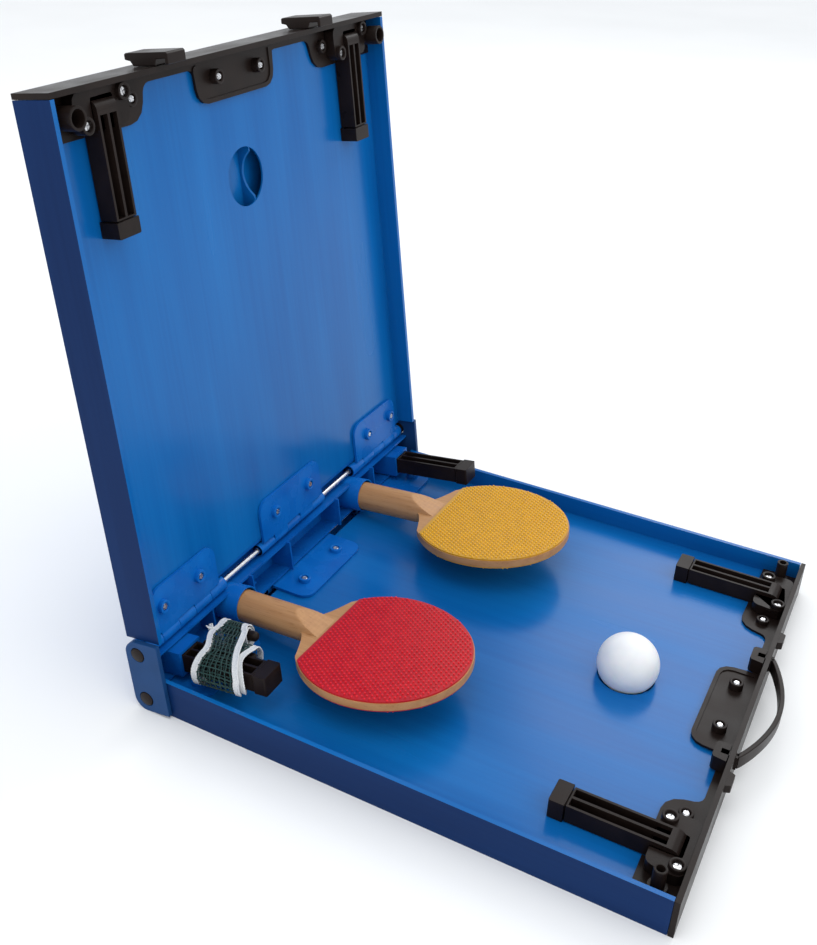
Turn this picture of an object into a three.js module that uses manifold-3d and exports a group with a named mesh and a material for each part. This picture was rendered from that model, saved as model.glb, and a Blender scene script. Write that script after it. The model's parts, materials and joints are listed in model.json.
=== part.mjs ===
// Fold-up mini table tennis set, millimetres, +Z up.
// The two playing halves fold about a spine into a carrying case.
// Half frame: x from the hinge to the free end, y across, z away from the playing surface.
import * as THREE from "three";
import { mergeVertices } from "three/addons/utils/BufferGeometryUtils.js";
import Module from "manifold-3d";

const wasm = await Module();
wasm.setup();

// ---------------------------------------------------------------- driving dimensions
const WIDTH = 340;            // across the case
const CASE_H = 51.4;          // closed case height
const RIM = 25.4;             // side wall height of one half
const WALL = 3;               // side wall thickness
const FLOOR = 11.4;           // twin-wall panel thickness
const SKIN = 1.1;             // panel skin
const WEB = 1.2;              // web between the skins
const WEB_PITCH = 38.6;
const WEB_FIRST = 45.7;
const WEB_COUNT = 8;
const TRAY_START = 18.7;      // hinge end of the panel
const TRAY_END = 339.1;       // free end of the panel
const CAP_IN = 339.4;         // inner face of the end wall
const CAP_OUT = 342.5;        // outer face of the end wall
const GAP = 0.3;              // clearance between neighbouring pieces
const PIVOT = 9.2;            // hinge axis inset from the two outer faces
const PIVOT_SPACING = 33;
const LEAN = 7.6;             // rest angle of spine and upper half past upright
const BARREL_R = 4.3;
const ROD_R = 2.0;
const BORE_R = 2.14;
const TAB_TOP = 13.7;
const TAB_END = 44.7;
const BOSS_TOP = 16.5;
const BALL_HOLE = [262.5, 170, 18.7];
const BALL_R = 20;
const BALL_Z = SKIN + 0.2 + BALL_R;
const LEG_Y = [41, 299];      // corner leg centres
const LEG_PIVOT = [328, 18];
const LEG_W = 16;
const LEG_TIP = 260;
const SPINE_LEG_Y = [26, 314];
const SOCKET_Y = [88, 252];
const SOCKET_Z = 25.7;
const SOCKET_R = 12.8;
const SOCKET_BORE = 11.85;
const SHELF_Z = [14.3, 35.5]; // two shelves that run along inside the spine
const RIB_Y = [105.5, 152.7, 221.2, 276.7];
const LOW_RIB_Y = [66, 38];
const CROSS_RIB_Y = [108, 272];
const DROOP = 2.2;            // paddles sag in their sockets
const YAW = [2.6, 0.8];
const POST = [328, 12.9];     // corner locating posts
const POST_TOP = 29.4;
const POST_R = 3.4;           // net posts, kept in the spine
const CENTRE_BOSS_Y = [148, 192];
const SIDE_BOSS_Y = [69.7, 270.3];
const LATCH_Y = [91, 249];
const CATCH_Y = [97.5, 242.5];
const HANDLE_Y = [120, 220];
const HANDLE_R = 10.8;        // paddle handle, along x from its butt
const HANDLE_START = 4;
const WEDGE_START = 67;       // the handle thins from here to HANDLE_END
const HANDLE_END = 90;
const NECK_START = 77;
const NECK_END = 88;
const NECK_STEPS = 4;
const BLADE_X = 131;          // widest line of the blade
const BLADE_HALF = 53.6;
const BLADE_BACK = 54.6;      // half ellipse towards the handle
const BLADE_FRONT = 59.6;     // half ellipse towards the tip
const BLADE_T = 5;
const BLADE_STEPS = 18;
const RUBBER_START = 92;
const RUBBER_INSET = 0.6;
const RUBBER_T = 1.8;
const SCREW_DX = 6.2;         // bracket screws, on a diagonal about the leg's pivot
const SCREW_DY = 15.6;
const END_PLATE_T = 3.2;
const DEG = Math.PI / 180;

// Hinge tabs: plate ends across, screw bosses, moving knuckles, fixed knuckles.
const TABS = [
  { name: "near", y: [12, 77], bosses: [21, 58],
    moving: [[16.7, 33.3], [50.2, 66.8]], fixed: [[3.3, 16.4], [33.6, 49.9], [67.1, 84]] },
  { name: "centre", y: [131, 209], bosses: [148, 192],
    moving: [[144.7, 161.3], [178.7, 195.3]], fixed: [[127.5, 144.4], [161.6, 178.4], [195.6, 212.5]] },
  { name: "far", y: [263, 328], bosses: [282, 319],
    moving: [[273.2, 289.8], [306.7, 323.3]], fixed: [[256, 272.9], [290.1, 306.4], [323.6, 336.7]] },
];

const root = new THREE.Group();
root.name = "table_tennis_case";
const kit = new THREE.Group();
kit.position.set(-180, -WIDTH / 2, 0);   // origin: middle of the lower half's playing surface
root.add(kit);

// ---------------------------------------------------------------- materials
function material(color, roughness, metalness = 0) {
  return new THREE.MeshStandardMaterial({ color, roughness, metalness });
}
const BLUE = material(0x0f55b0, 0.3);
const NAVY = material(0x24407e, 0.45);
const BLACK = material(0x2a2422, 0.5);
const STEEL = material(0xd8d8dc, 0.25, 1);
const WOOD = material(0xd9a36a, 0.55);
const RED = material(0xe01020, 0.5);
const YELLOW = material(0xf5b400, 0.5);
const WHITE = material(0xf4f4f2, 0.5);
const GREEN = material(0x12382e, 0.8);

// ---------------------------------------------------------------- solid helpers
function solid(geometry) {
  let g = geometry.index ? geometry.toNonIndexed() : geometry.clone();
  g.deleteAttribute("normal");
  g.deleteAttribute("uv");
  g = mergeVertices(g, 1e-4);
  return new wasm.Manifold(new wasm.Mesh({
    numProp: 3,
    vertProperties: g.attributes.position.array,
    triVerts: new Uint32Array(g.index.array),
  }));
}

function geometryOf(body) {
  const m = body.getMesh();
  const g = new THREE.BufferGeometry();
  g.setAttribute("position", new THREE.BufferAttribute(new Float32Array(m.vertProperties), 3));
  g.setIndex(new THREE.BufferAttribute(new Uint32Array(m.triVerts), 1));
  const flat = g.toNonIndexed();
  flat.computeVertexNormals();
  return flat;
}

function part(parent, name, body, mat) {
  const mesh = new THREE.Mesh(geometryOf(body), mat);
  mesh.name = name;
  parent.add(mesh);
}

function box(x0, x1, y0, y1, z0, z1) {
  const g = new THREE.BoxGeometry(x1 - x0, y1 - y0, z1 - z0);
  g.translate((x0 + x1) / 2, (y0 + y1) / 2, (z0 + z1) / 2);
  return solid(g);
}

function extrude(points, depth, basis, holes = []) {
  const shape = new THREE.Shape(points.map(([a, b]) => new THREE.Vector2(a, b)));
  for (const hole of holes) {
    shape.holes.push(new THREE.Path(hole.map(([a, b]) => new THREE.Vector2(a, b))));
  }
  const g = new THREE.ExtrudeGeometry(shape, { depth, bevelEnabled: false });
  g.applyMatrix4(basis);
  return solid(g);
}

const X = new THREE.Vector3(1, 0, 0);
const Y = new THREE.Vector3(0, 1, 0);
const Z = new THREE.Vector3(0, 0, 1);

// Points are (x, y).
function prismZ(points, z0, z1, holes = []) {
  const basis = new THREE.Matrix4().makeTranslation(0, 0, z0);
  return extrude(points, z1 - z0, basis, holes);
}

// Points are (x, z).
function prismY(points, y0, y1) {
  const basis = new THREE.Matrix4().makeBasis(Z, X, Y).setPosition(0, y0, 0);
  return extrude(points.map(([x, z]) => [z, x]), y1 - y0, basis);
}

// Points are (y, z).
function prismX(points, x0, x1) {
  const basis = new THREE.Matrix4().makeBasis(Y, Z, X).setPosition(x0, 0, 0);
  return extrude(points, x1 - x0, basis);
}

function circle(cx, cy, r, n = 16) {
  const points = [];
  for (let i = 0; i < n; i++) {
    const a = (2 * Math.PI * (i + 0.5)) / n;
    points.push([cx + r * Math.cos(a), cy + r * Math.sin(a)]);
  }
  return points;
}

function arc(cx, cy, r, from, to, n) {
  const points = [];
  for (let i = 0; i <= n; i++) {
    const a = (from + ((to - from) * i) / n) * DEG;
    points.push([cx + r * Math.cos(a), cy + r * Math.sin(a)]);
  }
  return points;
}

const cylX = (y, z, r, x0, x1, n) => prismX(circle(y, z, r, n), x0, x1);
const cylY = (x, z, r, y0, y1, n) => prismY(circle(x, z, r, n), y0, y1);
const cylZ = (x, y, r, z0, z1, n) => prismZ(circle(x, y, r, n), z0, z1);

function join(bodies) {
  return bodies.reduce((a, b) => a.add(b));
}

function cut(body, tools) {
  return tools.reduce((a, b) => a.subtract(b), body);
}

// Polygon corners (x, y, radius) with each corner rounded.
function rounded(corners, steps = 3) {
  const points = [];
  const n = corners.length;
  for (let i = 0; i < n; i++) {
    const [x, y, r] = corners[i];
    const p = new THREE.Vector2(x, y);
    if (!r) {
      points.push([x, y]);
      continue;
    }
    const before = corners[(i + n - 1) % n];
    const after = corners[(i + 1) % n];
    const u = new THREE.Vector2(before[0], before[1]).sub(p).normalize();
    const v = new THREE.Vector2(after[0], after[1]).sub(p).normalize();
    const half = Math.acos(THREE.MathUtils.clamp(u.dot(v), -1, 1)) / 2;
    const reach = r / Math.tan(half);
    const start = p.clone().addScaledVector(u, reach);
    const end = p.clone().addScaledVector(v, reach);
    const middle = u.clone().add(v).normalize().multiplyScalar(r / Math.sin(half)).add(p);
    let a0 = Math.atan2(start.y - middle.y, start.x - middle.x);
    let a1 = Math.atan2(end.y - middle.y, end.x - middle.x);
    if (a1 - a0 > Math.PI) a1 -= 2 * Math.PI;
    if (a0 - a1 > Math.PI) a1 += 2 * Math.PI;
    for (let k = 0; k <= steps; k++) {
      const a = a0 + ((a1 - a0) * k) / steps;
      points.push([middle.x + r * Math.cos(a), middle.y + r * Math.sin(a)]);
    }
  }
  return points;
}

function ring(cx, cy, rOut, rIn, z0, z1, n = 14) {
  return cut(cylZ(cx, cy, rOut, z0, z1, n), [cylZ(cx, cy, rIn, z0 - 1, z1 + 1, n)]);
}

// ---------------------------------------------------------------- one playing half
// Twin-wall panel with side walls, and the ball's hole through its inner skin.
function tray() {
  const section = [
    [0, 0], [WIDTH, 0], [WIDTH, RIM], [WIDTH - WALL, RIM],
    [WIDTH - WALL, FLOOR], [WALL, FLOOR], [WALL, RIM], [0, RIM],
  ];
  const cells = [];
  let from = WALL;
  for (let i = 0; i <= WEB_COUNT; i++) {
    const to = i < WEB_COUNT ? WEB_FIRST + i * WEB_PITCH - WEB / 2 : WIDTH - WALL;
    cells.push(box(TRAY_START - 1, TRAY_END + 1, from, to, SKIN, FLOOR - SKIN - 0.1));
    from = to + WEB;
  }
  const [x, y, r] = BALL_HOLE;
  const hollow = new THREE.SphereGeometry(BALL_R + 0.2, 24, 16);
  hollow.rotateX(Math.PI / 2);
  hollow.translate(x, y, BALL_Z);
  return cut(prismX(section, TRAY_START, TRAY_END), [
    ...cells,
    cylZ(x, y, r, FLOOR - SKIN - 0.1, FLOOR + 1, 36),
    solid(hollow),
  ]);
}

// Scalloped outline of the cap's foot along the free end.
function footOutline() {
  const edge = CAP_IN + 1;
  return rounded([
    [edge, WALL + GAP, 0], [315, WALL + GAP, 1], [314, 79, 13], [334, 84, 6],
    [334, 130, 5], [313, 130, 10], [313, 210, 10], [334, 210, 5],
    [334, 256, 6], [314, 261, 13], [315, WIDTH - WALL - GAP, 1], [edge, WIDTH - WALL - GAP, 0],
  ], 3);
}

function endCap(male) {
  const base = FLOOR + GAP;
  const border = rounded([[336, 128.2, 3], [313, 130, 10], [313, 210, 10], [336, 211.8, 3]], 3);
  const recess = rounded([[340, 132.6, 1], [315.6, 132.6, 7.5], [315.6, 207.4, 7.5], [340, 207.4, 1]], 3);
  const wall = prismX([[0, 0], [WIDTH, 0], [WIDTH, RIM], [0, RIM]], CAP_IN, CAP_OUT);
  const pieces = [
    wall,
    prismZ(footOutline(), base, 13.4),
    cut(prismZ(border, 13, 14.2), [prismZ(recess, 12, 15)]),
    ...CENTRE_BOSS_Y.map((y) => ring(327.5, y, 4.4, 2.9, 12.6, 18.2)),
    ...SIDE_BOSS_Y.map((y) => ring(328, y, 4.3, 2.8, 12.6, 16.4)),
  ];
  const notches = LEG_Y.map((y) => box(300, 334.6, y - 9.4, y + 9.4, 5, 20));
  let body = cut(join(pieces), notches);
  for (const y of [POST[1], WIDTH - POST[1]]) {
    const r = male ? 3.7 : 6.25;
    const bore = male ? 2.5 : 4.8;
    const sleeve = cut(cylZ(POST[0], y, r, 12.6, POST_TOP, 16), [cylZ(POST[0], y, bore, 14, 40, 12)]);
    const foot = cylZ(POST[0], y, 5.4, 12.6, 17, 16);
    body = body.add(male ? cut(foot, [cylZ(POST[0], y, bore, 14, 40, 12)]).add(sleeve) : sleeve);
  }
  if (male) {
    body = cut(body, HANDLE_Y.map((y) => box(338, 344, y - 2.4, y + 2.4, 13.9, 24.1)));
    body = join([body, ...CATCH_Y.map(catchBlock)]);
  }
  return body;
}

// Block on the outside of the end wall that the latch hooks over.
function catchBlock(y) {
  const outline = rounded([[CAP_OUT - 0.5, y - 6.5, 0], [346, y - 4.8, 0.8], [346, y + 4.8, 0.8], [CAP_OUT - 0.5, y + 6.5, 0]], 2);
  return prismZ(outline, 19.8, 25.2);
}

function hingeTab(tab) {
  const [y0, y1] = tab.y;
  const base = FLOOR + GAP;
  const plate = rounded([[14.2, y0, 0], [TAB_END, y0, 9], [TAB_END, y1, 9], [14.2, y1, 0]], 4);
  const pieces = [prismZ(plate, base, TAB_TOP)];
  for (const y of tab.bosses) {
    pieces.push(ring(31, y, 4.4, 2.7, TAB_TOP - 1, BOSS_TOP));
  }
  for (const [a, b] of tab.moving) {
    pieces.push(cylY(PIVOT, PIVOT, BARREL_R, a, b, 12));
    pieces.push(box(PIVOT, 15, a, b, base, 13.4));
  }
  const bore = cylY(PIVOT, PIVOT, BORE_R, y0 - 20, y1 + 20, 12);
  return cut(join(pieces), [bore]);
}

// Bracket that carries a corner leg on its two side cheeks.
function legBracket(y) {
  const [px, pz] = LEG_PIVOT;
  const side = LEG_W / 2 + 0.5;
  const outline = rounded([
    [317.5, y - 20, 5], [339, y - 22, 5], [339, y + 22, 5], [317.5, y + 21, 5],
    [317.5, y + side, 0.5], [335, y + side, 1.5], [335, y - side, 1.5], [317.5, y - side, 0.5],
  ], 3);
  const pieces = [prismZ(outline, TAB_TOP, 20.8)];
  const screws = [[px - SCREW_DX, y + SCREW_DY], [px + SCREW_DX, y - SCREW_DY]];
  for (const [sx, sy] of screws) {
    pieces.push(cylZ(sx, sy, 4.7, TAB_TOP, 23.5, 16));
  }
  const tools = screws.map(([sx, sy]) => cylZ(sx, sy, 3.2, 20, 30, 12));
  tools.push(cylY(px, pz, 2.64, y - 11.4, y + 11.4, 12));
  return cut(join(pieces), tools);
}

// Open channel with a middle rib, a rounded pivot end and two trunnions.
function cornerLeg(y) {
  const [px, pz] = LEG_PIVOT;
  const h = LEG_W / 2;
  const shell = join([
    box(LEG_TIP + 10, px, y - h, y + h, 12.2, 23.8),
    cylY(px, pz, 5.8, y - h, y + h, 16),
    box(LEG_TIP + 3, LEG_TIP + 12, y - h + 2, y + h - 2, 13.6, 22.4),
  ]);
  const groove = (a, b) => box(LEG_TIP + 11, px - 2.5, a, b, 14.6, 30);
  return cut(shell, [groove(y - h + 1.6, y - 0.9), groove(y + 0.9, y + h - 1.6)])
    .add(cylY(px, pz, 2.5, y - h - 2.8, y + h + 2.8, 12));
}

function footCap(y) {
  const cap = prismZ(rounded([
    [LEG_TIP, y - 9, 1.2], [LEG_TIP + 9.5, y - 9, 0.6], [LEG_TIP + 9.5, y + 9, 0.6], [LEG_TIP, y + 9, 1.2],
  ], 2), FLOOR + GAP, 24.4);
  return cut(cap, [box(LEG_TIP + 2.7, LEG_TIP + 12, y - 6.3, y + 6.3, 13.3, 22.7)]);
}

function screw(x, y) {
  return join([cylZ(x, y, 2.9, 20.3, 21.4, 10), cylZ(x, y, 2.1, 21.2, 22.3, 10)]);
}

function half(parent, label, male) {
  part(parent, label + "_tray", tray(), BLUE);
  part(parent, label + "_end_cap", endCap(male), BLACK);
  for (const tab of TABS) {
    part(parent, label + "_hinge_tab_" + tab.name, hingeTab(tab), BLUE);
  }
  LEG_Y.forEach((y, i) => {
    const end = ["a", "b"][i];
    part(parent, label + "_leg_bracket_" + end, legBracket(y), BLACK);
    part(parent, label + "_leg_" + end, cornerLeg(y), BLACK);
    part(parent, label + "_leg_foot_" + end, footCap(y), BLACK);
    part(parent, label + "_screw_" + end + "1", screw(LEG_PIVOT[0] - SCREW_DX, y + SCREW_DY), STEEL);
    part(parent, label + "_screw_" + end + "2", screw(LEG_PIVOT[0] + SCREW_DX, y - SCREW_DY), STEEL);
  });
}

// ---------------------------------------------------------------- closures
// Strap handle bowed between its two ends, each locked behind the end wall.
function handleStrap() {
  const middle = 170;
  const bow = 15.5;
  const outer = [];
  const inner = [];
  const steps = 12;
  for (let i = 0; i <= steps; i++) {
    const t = -1 + (2 * i) / steps;
    const rise = Math.cos((t * Math.PI) / 2) ** 0.85;
    const y = middle + t * 52;
    outer.push([CAP_OUT + 0.6 + bow * rise, y]);
    inner.push([CAP_OUT + 0.6 + (bow - 3) * rise, middle + t * 48]);
  }
  const strap = prismZ([...outer, ...inner.reverse()], 14.4, 23.6);
  const pieces = [strap];
  for (const y of HANDLE_Y) {
    pieces.push(box(334, CAP_OUT + 1.2, y - 2.1, y + 2.1, 14.4, 23.6));
    const head = rounded([[330, y - 7, 2.5], [338.6, y - 8, 0], [338.6, y + 8, 0], [330, y + 7, 2.5]], 2);
    pieces.push(prismZ(head, TAB_TOP, 23.6));
  }
  return join(pieces);
}

// Snap latch: a base on the end wall, an arm past the rim and a hook for the catch.
function latch(y) {
  const profile = [
    [342.8, 9.5], [345.6, 7.6], [346.4, 4], [349.4, 4], [350, 5], [350, 33], [349, 34],
    [343.4, 34], [343.4, 31.9], [346.4, 31.9], [346.4, 25.9], [342.8, 24.6],
  ];
  return prismY(profile, y - 8, y + 8);
}

// ---------------------------------------------------------------- spine
// Back wall, rounded behind each hinge axis and open in front of it, with two shelves between.
function spineShell() {
  const top = CASE_H - PIVOT;
  const outerR = PIVOT;
  const innerR = 7.2;
  const lipAngle = 18;
  const trough = [
    ...arc(PIVOT, PIVOT, outerR, lipAngle, -180, 10),
    ...arc(PIVOT, top, outerR, 180, -lipAngle, 10),
    ...arc(PIVOT, top, innerR, -lipAngle, 180, 10),
    ...arc(PIVOT, PIVOT, innerR, -180, lipAngle, 10),
  ];
  const pieces = [prismY(trough.reverse(), 0, WIDTH)];
  for (const z of SHELF_Z) {
    pieces.push(box(1, 16.5, 0, WIDTH, z, z + 1.6));
  }
  for (const y of RIB_Y) {
    pieces.push(box(1, 19.5, y - 0.8, y + 0.8, 14.5, 37));
  }
  for (const y of LOW_RIB_Y) {
    pieces.push(box(1, 14, y - 0.8, y + 0.8, 14.5, 37));
  }
  for (const y of CROSS_RIB_Y) {
    pieces.push(box(1, 15, y - 6, y + 6, 25, 26.4));
  }
  let body = cut(join(pieces), [
    box(10.8, 30, -1, WIDTH + 1, -5, 14.2),
    box(10.8, 30, -1, WIDTH + 1, CASE_H - 14.2, CASE_H + 5),
  ]);
  const knuckles = [];
  for (const tab of TABS) {
    for (const [a, b] of tab.fixed) {
      for (const z of [PIVOT, top]) {
        knuckles.push(cylY(PIVOT, z, BARREL_R, a, b, 12));
        knuckles.push(box(1, PIVOT, a, b, z - 3.4, z + 3.4));
      }
    }
  }
  for (const y of SOCKET_Y) {
    knuckles.push(cylX(y, SOCKET_Z, SOCKET_R, 1.2, 25, 24));
  }
  for (const y of SPINE_LEG_Y) {
    knuckles.push(box(1.2, 25, y - 10.4, y + 10.4, 17.2, 34.2));
  }
  body = join([body, ...knuckles]);
  const bores = [
    cylY(PIVOT, PIVOT, BORE_R, -5, WIDTH + 5, 12),
    cylY(PIVOT, top, BORE_R, -5, WIDTH + 5, 12),
    ...SOCKET_Y.map((y) => cylX(y, SOCKET_Z, SOCKET_BORE, 2.4, 30, 24)),
    ...SPINE_LEG_Y.map((y) => box(3, 30, y - 8.3, y + 8.3, 19, 32.4)),
  ];
  return cut(body, bores);
}

function endPlate(y0, y1) {
  const top = CASE_H - PIVOT;
  const outline = [
    [25.3, 0], [25.3, CASE_H],
    ...arc(PIVOT, top, PIVOT, 90, 180, 8),
    ...arc(PIVOT, PIVOT, PIVOT, 180, 270, 8),
  ];
  const plate = prismY(outline, y0, y1);
  return cut(plate, [
    cylY(PIVOT, PIVOT, 5.2, y0 - 1, y1 + 1, 16),
    cylY(PIVOT, top, 5.2, y0 - 1, y1 + 1, 16),
  ]);
}

// Fixed leg on the spine, tapered tenon inside its foot cap.
function spineLeg(y) {
  const h = LEG_W / 2;
  const shell = join([
    box(3.4, 78, y - h, y + h, 19.5, 31.9),
    box(77, 84.5, y - h + 2, y + h - 2, 21.2, 30.2),
  ]);
  const groove = (a, b) => box(26, 76.5, a, b, 22, 40);
  return cut(shell, [groove(y - h + 1.6, y - 0.9), groove(y + 0.9, y + h - 1.6)]);
}

function spineFoot(y) {
  const cap = prismZ(rounded([
    [78.4, y - 9, 0.6], [87.8, y - 9, 1.2], [87.8, y + 9, 1.2], [78.4, y + 9, 0.6],
  ], 2), 19.2, 32.3);
  return cut(cap, [box(70, 84.9, y - 6.3, y + 6.3, 20.9, 30.5)]);
}

// ---------------------------------------------------------------- playing kit
// Round stretch of the blade from x = from to its tip, with two different half ellipses
// that meet at the widest line, seen from the near side.
function bladeRound(from, inset) {
  const start = Math.acos((BLADE_X - from) / (BLADE_BACK - inset));
  const points = [];
  for (let i = 0; i < BLADE_STEPS; i++) {
    const a = start + ((Math.PI - start) * i) / BLADE_STEPS;
    const reach = (a < Math.PI / 2 ? BLADE_BACK : BLADE_FRONT) - inset;
    points.push([BLADE_X - reach * Math.cos(a), -(BLADE_HALF - inset) * Math.sin(a)]);
  }
  return points;
}

// Hollow curve from the handle out to the blade's round stretch.
function bladeNeck() {
  const widest = bladeRound(NECK_END, 0)[0];
  const curve = new THREE.QuadraticBezierCurve(
    new THREE.Vector2(NECK_START, -HANDLE_R),
    new THREE.Vector2(NECK_START + 4, -HANDLE_R - 2),
    new THREE.Vector2(...widest),
  );
  return curve.getPoints(NECK_STEPS).slice(0, -1).map((p) => [p.x, p.y]);
}

function bladeOutline(nearSide, inset) {
  const farSide = nearSide.map(([x, y]) => [x, -y]).reverse();
  return [...nearSide, [BLADE_X + BLADE_FRONT - inset, 0], ...farSide];
}

function paddleWood() {
  const outline = bladeOutline([...bladeNeck(), ...bladeRound(NECK_END, 0)], 0);
  const blade = prismZ(outline, -BLADE_T / 2, BLADE_T / 2);
  const handle = cylX(0, 0, HANDLE_R, HANDLE_START, HANDLE_END, 20);
  const thick = HANDLE_R + 0.2;
  const thin = BLADE_T / 2 - 0.2;
  const wedge = prismY([
    [HANDLE_START, -thick], [WEDGE_START, -thick], [HANDLE_END, -thin],
    [HANDLE_END, thin], [WEDGE_START, thick], [HANDLE_START, thick],
  ], -2 * HANDLE_R, 2 * HANDLE_R);
  return blade.add(handle.intersect(wedge));
}

function paddleRubber(z0) {
  return prismZ(bladeOutline(bladeRound(RUBBER_START, RUBBER_INSET), RUBBER_INSET), z0, z0 + RUBBER_T);
}

function paddle(parent, label, y, yaw, mat) {
  const holder = new THREE.Group();
  const seat = 14;
  holder.position.set(0, y + seat * Math.tan(yaw * DEG), SOCKET_Z + seat * Math.tan(DROOP * DEG));
  holder.rotation.set(0, DROOP * DEG, -yaw * DEG, "ZYX");
  parent.add(holder);
  part(holder, label + "_paddle_wood", paddleWood(), WOOD);
  const face = BLADE_T / 2 + GAP;
  part(holder, label + "_rubber_top", paddleRubber(face), mat);
  part(holder, label + "_rubber_bottom", paddleRubber(-face - RUBBER_T), mat);
}

// Net folded into a flat roll around the spine leg, with its two posts inside.
function netRoll() {
  const outer = rounded([[9.5, 14.6, 9], [64.5, 14.6, 9], [64.5, 37, 9], [9.5, 37, 9]], 4);
  const inner = rounded([[11.5, 16.6, 7], [62.5, 16.6, 7], [62.5, 35, 7], [11.5, 35, 7]], 4);
  return cut(prismX(outer, 37, 73), [prismX(inner, 30, 80)]);
}

function netPost(y, z, x0, x1) {
  const dome = arc(x1 - POST_R, 0, POST_R, 90, 0, 3);
  const profile = [[x0, 0], [x0, POST_R], ...dome];
  const points = profile.map(([x, r]) => new THREE.Vector2(Math.max(r, 0), x));
  const g = new THREE.LatheGeometry(points, 12);
  g.rotateZ(-Math.PI / 2);
  g.translate(0, y, z);
  return solid(g);
}

// ---------------------------------------------------------------- assembly
const lower = new THREE.Group();
kit.add(lower);
half(lower, "lower", true);
part(lower, "handle_strap", handleStrap(), BLACK);

const spine = new THREE.Group();
spine.position.set(PIVOT, 0, PIVOT);
spine.rotation.y = -LEAN * DEG;
kit.add(spine);
const frame = new THREE.Group();
frame.position.set(-PIVOT, 0, -PIVOT);
spine.add(frame);

part(frame, "spine_shell", spineShell(), BLUE);
part(frame, "spine_end_plate_near", endPlate(-GAP - END_PLATE_T, -GAP), NAVY);
part(frame, "spine_end_plate_far", endPlate(WIDTH + GAP, WIDTH + GAP + END_PLATE_T), NAVY);
for (const [tag, z] of [["low", PIVOT], ["top", PIVOT + PIVOT_SPACING]]) {
  part(frame, "hinge_rod_" + tag, cylY(PIVOT, z, ROD_R, 0.4, WIDTH - 0.4, 12), STEEL);
  part(frame, "plug_near_" + tag, cylY(PIVOT, z, 4.8, -3.9, -GAP - 0.3, 16), BLACK);
  part(frame, "plug_far_" + tag, cylY(PIVOT, z, 4.8, WIDTH + GAP + 0.3, WIDTH + 3.9, 16), BLACK);
}
SPINE_LEG_Y.forEach((y, i) => {
  const end = ["near", "far"][i];
  part(frame, "spine_leg_" + end, spineLeg(y), BLACK);
  part(frame, "spine_leg_foot_" + end, spineFoot(y), BLACK);
});

paddle(frame, "red", SOCKET_Y[0], YAW[0], RED);
paddle(frame, "yellow", SOCKET_Y[1], YAW[1], YELLOW);
part(frame, "net_roll", netRoll(), GREEN);
part(frame, "net_post_a", netPost(38.9, 26.2, 26, 66), BLACK);
part(frame, "net_post_b", netPost(56.6, 28, 26, 56), BLACK);

const upper = new THREE.Group();
upper.matrixAutoUpdate = false;
upper.matrix.makeBasis(Z, Y.clone().negate(), X).setPosition(0, WIDTH, PIVOT_SPACING);
frame.add(upper);
half(upper, "upper", false);
LATCH_Y.forEach((y, i) => {
  part(upper, "latch_" + ["near", "far"][i], latch(WIDTH - y), BLACK);
});

const ball = new THREE.SphereGeometry(BALL_R, 24, 16);
ball.rotateX(Math.PI / 2);
ball.translate(BALL_HOLE[0], BALL_HOLE[1], BALL_Z);
part(kit, "ball", solid(ball), WHITE);

export default root;
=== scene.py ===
"""Looks of a fold-up mini table tennis set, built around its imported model.

Blender works in metres. Sizes below are in millimetres in the frame of the part they belong to:
a half's frame has x from the hinge to the free end, y across and z away from the playing surface;
the spine's has x into the case, y across and z up the spine; a paddle's has x along its handle.
"""
import json
import math
import random

import bmesh
import bpy
from mathutils import Matrix, Vector


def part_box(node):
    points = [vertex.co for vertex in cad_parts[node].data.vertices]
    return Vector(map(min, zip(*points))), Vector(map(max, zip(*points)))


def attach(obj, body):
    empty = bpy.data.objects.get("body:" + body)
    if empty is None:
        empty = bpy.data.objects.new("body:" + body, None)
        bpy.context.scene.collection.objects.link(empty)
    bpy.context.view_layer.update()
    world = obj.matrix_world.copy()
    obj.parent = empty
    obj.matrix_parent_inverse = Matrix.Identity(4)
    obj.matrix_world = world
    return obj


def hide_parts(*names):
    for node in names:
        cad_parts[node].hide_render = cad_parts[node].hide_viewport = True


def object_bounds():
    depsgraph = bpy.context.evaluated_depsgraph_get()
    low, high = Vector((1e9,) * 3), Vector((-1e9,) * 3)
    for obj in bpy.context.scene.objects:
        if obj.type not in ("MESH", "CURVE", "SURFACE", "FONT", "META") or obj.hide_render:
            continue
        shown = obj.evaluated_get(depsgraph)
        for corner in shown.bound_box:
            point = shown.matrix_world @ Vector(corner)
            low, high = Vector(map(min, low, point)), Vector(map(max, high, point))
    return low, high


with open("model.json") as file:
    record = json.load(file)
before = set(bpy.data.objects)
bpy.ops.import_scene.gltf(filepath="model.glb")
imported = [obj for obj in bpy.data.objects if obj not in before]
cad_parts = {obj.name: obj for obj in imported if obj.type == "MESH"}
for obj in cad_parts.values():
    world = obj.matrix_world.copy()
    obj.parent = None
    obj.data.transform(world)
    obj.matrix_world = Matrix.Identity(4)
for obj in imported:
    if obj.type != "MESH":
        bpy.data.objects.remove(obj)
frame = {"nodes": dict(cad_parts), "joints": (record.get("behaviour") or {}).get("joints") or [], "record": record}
cad_box = [list(corner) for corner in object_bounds()]
random.seed(7)

MM = 0.001
RAD = math.pi / 180

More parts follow.
